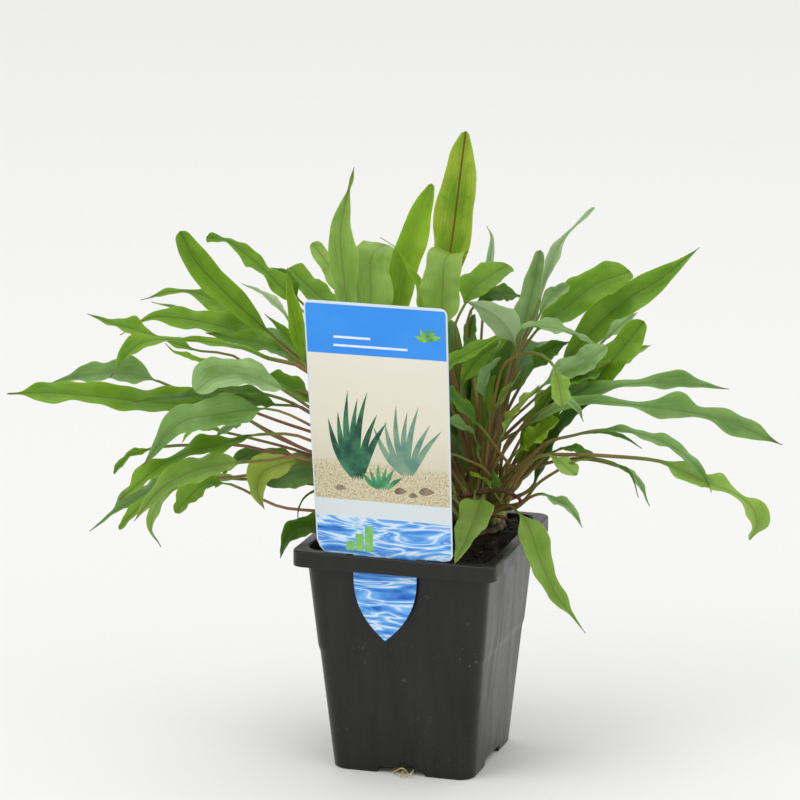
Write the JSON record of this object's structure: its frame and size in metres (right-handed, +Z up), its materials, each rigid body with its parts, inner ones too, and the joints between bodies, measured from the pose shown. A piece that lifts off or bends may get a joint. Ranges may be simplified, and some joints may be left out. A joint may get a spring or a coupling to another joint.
{
  "type": "potted aquarium plant",
  "caption": "Potted water trumpet with a dense fan of long narrow wavy green leaves on thin reddish stalks, in a tapered square black nursery pot with an upright printed plant card.",
  "frame": {"origin": "centre of the pot's flat underside", "axes": "+Z up, -Y towards the side of the pot that carries the plant card"},
  "size_m": [0.3257, 0.231, 0.27],
  "materials": {
    "pot_plastic": "satin moulded black polypropylene",
    "soil": null,
    "leaf_sheath": null,
    "label_card": "satin printed card in blue, cream and white",
    "leaf": null
  },
  "bodies": {
    "root": {"pot": "pot_plastic", "soil": "soil", "crown": "leaf_sheath", "plant_label": "label_card", "leaf_01": "leaf", "leaf_02": "leaf", "leaf_03": "leaf", "leaf_04": "leaf", "leaf_05": "leaf", "leaf_06": "leaf", "leaf_07": "leaf", "leaf_08": "leaf", "leaf_09": "leaf", "leaf_10": "leaf", "leaf_11": "leaf", "leaf_12": "leaf", "leaf_13": "leaf", "leaf_14": "leaf", "leaf_15": "leaf", "leaf_16": "leaf", "leaf_17": "leaf", "leaf_18": "leaf", "leaf_19": "leaf", "leaf_20": "leaf", "leaf_21": "leaf", "leaf_22": "leaf", "leaf_23": "leaf", "leaf_24": "leaf", "leaf_25": "leaf", "leaf_26": "leaf", "leaf_27": "leaf", "leaf_28": "leaf", "leaf_29": "leaf", "leaf_30": "leaf", "leaf_31": "leaf", "leaf_32": "leaf", "leaf_33": "leaf", "leaf_34": "leaf", "leaf_35": "leaf", "leaf_36": "leaf", "leaf_37": "leaf", "leaf_38": "leaf", "leaf_39": "leaf", "leaf_40": "leaf", "leaf_41": "leaf", "leaf_42": "leaf", "leaf_43": "leaf", "leaf_44": "leaf", "leaf_45": "leaf", "leaf_46": "leaf", "leaf_47": "leaf", "leaf_48": "leaf", "leaf_49": "leaf", "leaf_50": "leaf", "leaf_51": "leaf", "leaf_52": "leaf", "leaf_53": "leaf", "leaf_54": "leaf", "leaf_55": "leaf"}
  },
  "joints": []
}
